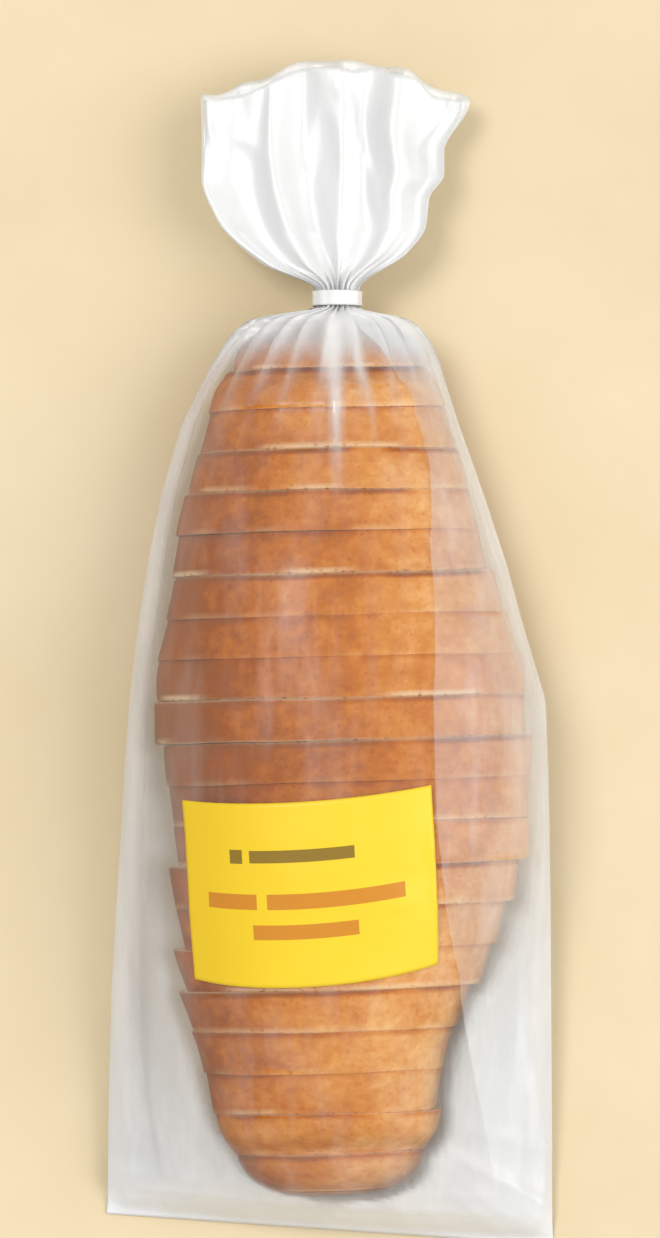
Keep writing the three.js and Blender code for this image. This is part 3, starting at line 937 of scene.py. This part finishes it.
# generic print, as shares of the sticker: middle u, middle v, half width, half height, ink
labelPrint = (
    (0.245, 0.71, 0.026, 0.038, 0),
    (0.50, 0.71, 0.20, 0.034, 0),
    (0.215, 0.465, 0.105, 0.042, 1),
    (0.62, 0.465, 0.26, 0.042, 1),
    (0.50, 0.30, 0.20, 0.040, 1),
)


def labelMaterial():
    material, tree = newMaterial("yellow_sticker")
    uv = addNode(tree, "ShaderNodeUVMap", uv_map="print").outputs[0]
    spot = addNode(tree, "ShaderNodeSeparateXYZ", {0: uv})
    place = addNode(tree, "ShaderNodeTexCoord").outputs["Object"]
    mottle = noiseNode(tree, place, 60.0, 3.0)
    # the paper paler towards its right edge, which is painted light, and mottled
    level = mathNode(tree, "MULTIPLY_ADD", mottle, 0.3, mathNode(tree, "MULTIPLY", spot.outputs[0], 0.7))
    left, right = [srgb(code) for code in labelLook["paper"]]
    colour = mixColour(tree, level, left, right)
    for u, v, halfU, halfV, ink in labelPrint:
        du = mathNode(tree, "ABSOLUTE", mathNode(tree, "SUBTRACT", spot.outputs[0], u))
        dv = mathNode(tree, "ABSOLUTE", mathNode(tree, "SUBTRACT", spot.outputs[1], v))
        inU = mathNode(tree, "LESS_THAN", du, halfU)
        inV = mathNode(tree, "LESS_THAN", dv, halfV)
        mask = mathNode(tree, "MULTIPLY", inU, inV)
        colour = mixColour(tree, mask, colour, srgb(labelLook["inks"][ink]))
    normal = addNode(tree, "ShaderNodeBump", {
        "Height": noiseNode(tree, place, 900.0, 2.0),
        "Strength": 0.1,
        "Distance": 0.1 * mm,
    })
    shader = addNode(tree, "ShaderNodeBsdfPrincipled", {
        "Base Color": colour,
        "Roughness": mathNode(tree, "MULTIPLY_ADD", mottle, 0.1, 0.36),
        "Normal": normal.outputs[0],
    })
    addNode(tree, "ShaderNodeOutputMaterial", {"Surface": shader.outputs[0]})
    return material


filmTree = joinedTree([film])


def stickerHeight(x, y):
    hit = filmTree.ray_cast(Vector((x, y, 200 * mm)), Vector((0, 0, -1)))[0]
    return hit.z + labelLook["lift"]


def walkRow(row, direction):
    # where the corners of one row lie, going from the middle of the sticker over the film to one side
    middle = (labelLow + labelHigh) / 2
    centreX, centreY = middle.x + labelLook["offset"][0], middle.y + labelLook["offset"][1]
    columns, tilt, step = labelLook["columns"], labelLook["tilt"], labelLook["step"]
    lowBow, highBow = labelLook["bow"]
    share = row / labelLook["rows"]
    down = (share - 0.5) * labelLook["height"]
    bow = lowBow + (highBow - lowBow) * share

    def rowY(walked):
        straight = centreY + down * math.cos(tilt) + direction * walked * math.sin(tilt)
        return straight + bow * (walked / (labelLook["width"] / 2)) ** 2

    spots = {}
    x, walked, column = centreX, 0.0, columns // 2
    while 0 <= column <= columns:
        target = abs(column - columns // 2) / columns * labelLook["width"]
        y = rowY(walked)
        length = math.hypot(step, stickerHeight(x + direction * step, y) - stickerHeight(x, y))
        if walked + length < target:
            x += direction * step
            walked += length
        else:
            x += direction * step * (target - walked) / length
            walked = target
            spots[column, row] = (x - down * math.sin(tilt), rowY(walked))
            column += direction
    return spots


def makeLabel():
    columns, rows = labelLook["columns"], labelLook["rows"]
    spots = {}
    for row in range(rows + 1):
        spots.update(walkRow(row, -1))
        spots.update(walkRow(row, 1))

    bm = bmesh.new()
    bmesh.ops.create_grid(bm, x_segments=columns, y_segments=rows, size=0.5)
    uvLayer = bm.loops.layers.uv.new("print")
    for face in bm.faces:
        for loop in face.loops:
            loop[uvLayer].uv = (loop.vert.co.x + 0.5, loop.vert.co.y + 0.5)
    for vert in bm.verts:
        column = round((vert.co.x + 0.5) * columns)
        row = round((vert.co.y + 0.5) * rows)
        x, y = spots[column, row]
        vert.co = (x, y, stickerHeight(x, y))
    inner = [v for v in bm.verts if not v.is_boundary]
    bmesh.ops.smooth_vert(bm, verts=inner, factor=0.5, use_axis_z=True)
    return makeObject("sticker", bm, [labelMaterial()])


sticker = makeLabel()
paper = sticker.modifiers.new("paper", "SOLIDIFY")
paper.thickness = labelLook["thickness"]
paper.offset = 1
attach(sticker, "root")
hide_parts("label")
print("label on")


tapeLook = {
    "thickness": 0.35 * mm,
    "width": tieHigh.y - tieLow.y,
    "around": 96,
    "overlap": 40,  # steps beyond one whole turn
    "start": 200,  # degrees
    "lift": 0.3 * mm,
    "endLift": 0.45 * mm,  # how much further out its end lies than its start
    "colours": ("DEDEDD", "EBEBEA"),
}


def tapeMaterial():
    material, tree = newMaterial("white_tape")
    place = addNode(tree, "ShaderNodeTexCoord").outputs["Object"]
    weave = noiseNode(tree, stretched(tree, place, (500, 2400, 500)), 1.0, 2.0)
    darker, paler = [srgb(code) for code in tapeLook["colours"]]
    colour = mixColour(tree, weave, darker, paler)
    normal = addNode(tree, "ShaderNodeBump", {"Height": weave, "Strength": 0.2, "Distance": 0.15 * mm})
    shader = addNode(tree, "ShaderNodeBsdfPrincipled", {
        "Base Color": colour,
        "Roughness": mathNode(tree, "MULTIPLY_ADD", weave, 0.2, 0.3),
        "Normal": normal.outputs[0],
    })
    addNode(tree, "ShaderNodeOutputMaterial", {"Surface": shader.outputs[0]})
    return material


def makeTape():
    # a strip wound more than once round the neck, its end lying on its start
    turns = tapeLook["around"] + tapeLook["overlap"]
    bm = bmesh.new()
    bmesh.ops.create_grid(bm, x_segments=turns, y_segments=6, size=0.5)
    for vert in bm.verts:
        share = (vert.co.x + 0.5) * turns / tapeLook["around"]
        along = vert.co.y * tapeLook["width"]
        angle = math.radians(tapeLook["start"]) + 2 * math.pi * share
        lift = tapeLook["lift"] + tapeLook["endLift"] * ease(0.9, 1.02, share)
        # faint kinks over the gathers, and edges that stand off a little
        lift += 0.12 * mm * math.cos(angle * 11) + 0.25 * mm * (2 * vert.co.y) ** 2
        vert.co = (
            neck.x + (neckHalf.x + lift) * math.cos(angle),
            neck.y + along + 0.3 * mm * math.sin(angle),
            neck.z + (neckHalf.z + lift) * math.sin(angle),
        )
    bmesh.ops.recalc_face_normals(bm, faces=bm.faces)
    return makeObject("neck_tape", bm, [tapeMaterial()])


tape = makeTape()
tapeWall = tape.modifiers.new("wall", "SOLIDIFY")
tapeWall.thickness = tapeLook["thickness"]
tapeWall.offset = 1
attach(tape, "root")
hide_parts("neck_tie")
print("neck taped")
